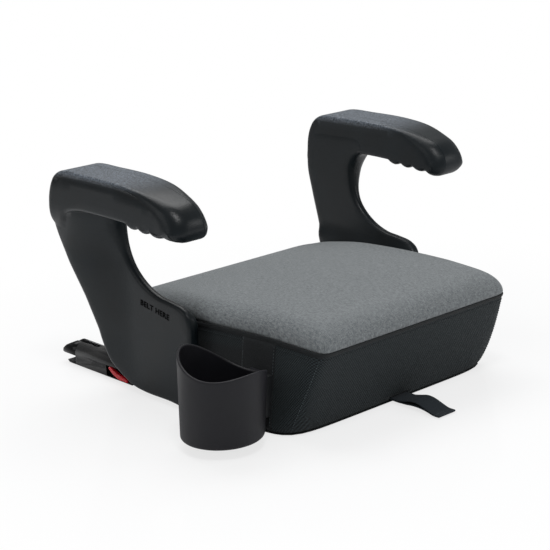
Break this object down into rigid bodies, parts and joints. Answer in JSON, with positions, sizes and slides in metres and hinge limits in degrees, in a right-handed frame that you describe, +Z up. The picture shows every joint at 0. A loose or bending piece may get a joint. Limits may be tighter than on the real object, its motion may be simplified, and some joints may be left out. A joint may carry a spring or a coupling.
{
  "type": "booster seat",
  "caption": "Backless booster seat with a padded fabric cover, two armrests that guide the lap belt, a lift-off cup holder and lower-anchor connectors on a strap-tightened carriage",
  "frame": {"origin": "centre of the underside, on the plane that the seat rests on: x is the middle between the armrests and y = 0 lies about half way along the pan", "axes": "+X is the sitter's left, -Y is the front of the seat, where the adjuster strap comes out, and +Z is up"},
  "size_m": [0.4578, 0.442, 0.2474],
  "materials": {
    "base_plastic": "moulded polypropylene, fine matt grain",
    "armrest_plastic": "moulded plastic, satin sides and a coarse pebbled grain on top of the arm",
    "cup_plastic": "moulded plastic, matt",
    "latch_plastic": "moulded nylon, slightly glossy",
    "red_plastic": "moulded plastic, satin",
    "steel": "zinc plated",
    "seat_fabric": "heather grey woven polyester",
    "side_mesh": "ribbed black spacer mesh",
    "trim": "black binding tape",
    "foam": "polyurethane foam, cut",
    "webbing": "woven polyester webbing",
    "rubber": "plain moulded rubber"
  },
  "bodies": {
    "base": {"base_shell": "base_plastic", "base_pan": "base_plastic", "cup_bracket": "base_plastic", "armrest_outer_left": "armrest_plastic", "armrest_outer_right": "armrest_plastic", "armrest_inner_left": "armrest_plastic", "armrest_inner_right": "armrest_plastic", "armrest_screw_1_left": "steel", "armrest_screw_1_right": "steel", "armrest_screw_2_left": "steel", "armrest_screw_2_right": "steel", "adjuster_frame": "steel", "adjuster_pin": "steel", "cover_top": "seat_fabric", "cover_side": "side_mesh", "cover_binding": "trim", "cover_hem_front": "trim", "cover_hem_rear": "trim", "seat_foam": "foam", "foot_front_left": "rubber", "foot_front_right": "rubber", "foot_rear_left": "rubber", "foot_rear_right": "rubber"},
    "carriage": {"latch_housing_left": "latch_plastic", "latch_housing_right": "latch_plastic", "latch_pin_left": "steel", "latch_pin_right": "steel", "slide_bar_left": "steel", "slide_bar_right": "steel", "slide_crossbar": "steel", "adjuster_strap": "webbing"},
    "cup": {"cup_holder": "cup_plastic"},
    "cam": {"adjuster_cam": "steel"},
    "jaw_left": {"latch_jaw_left": "steel"},
    "button_left": {"release_button_left": "red_plastic"},
    "jaw_right": {"latch_jaw_right": "steel"},
    "button_right": {"release_button_right": "red_plastic"}
  },
  "joints": [
    {"name": "carriage_slide", "type": "slide", "parent": "base", "child": "carriage", "axis": [0, 1, 0], "range_m": [-0.04, 0.015]},
    {"name": "jaw_left", "type": "hinge", "parent": "carriage", "child": "jaw_left", "pos_m": [0.146, 0.194, 0.017], "axis": [1, 0, 0], "range_deg": [0, 30], "stiffness_Nm_per_rad": 0.3, "springref_deg": -8.59},
    {"name": "jaw_right", "type": "hinge", "parent": "carriage", "child": "jaw_right", "pos_m": [-0.146, 0.194, 0.017], "axis": [1, 0, 0], "range_deg": [0, 30], "stiffness_Nm_per_rad": 0.3, "springref_deg": -8.59},
    {"name": "button_left", "type": "slide", "parent": "carriage", "child": "button_left", "axis": [0, 1, 0], "range_m": [0, 0.005], "stiffness_N_per_m": 300, "springref_m": -0.003},
    {"name": "button_right", "type": "slide", "parent": "carriage", "child": "button_right", "axis": [0, 1, 0], "range_m": [0, 0.005], "stiffness_N_per_m": 300, "springref_m": -0.003},
    {"name": "adjuster_release", "type": "hinge", "parent": "base", "child": "cam", "pos_m": [0.0025, -0.093, 0.0135], "axis": [-1, 0, 0], "range_deg": [0, 25], "stiffness_Nm_per_rad": 0.3, "springref_deg": -8.59},
    {"name": "cup_lift", "type": "slide", "parent": "base", "child": "cup", "axis": [0, 0, 1], "range_m": [0, 0.045]}
  ]
}
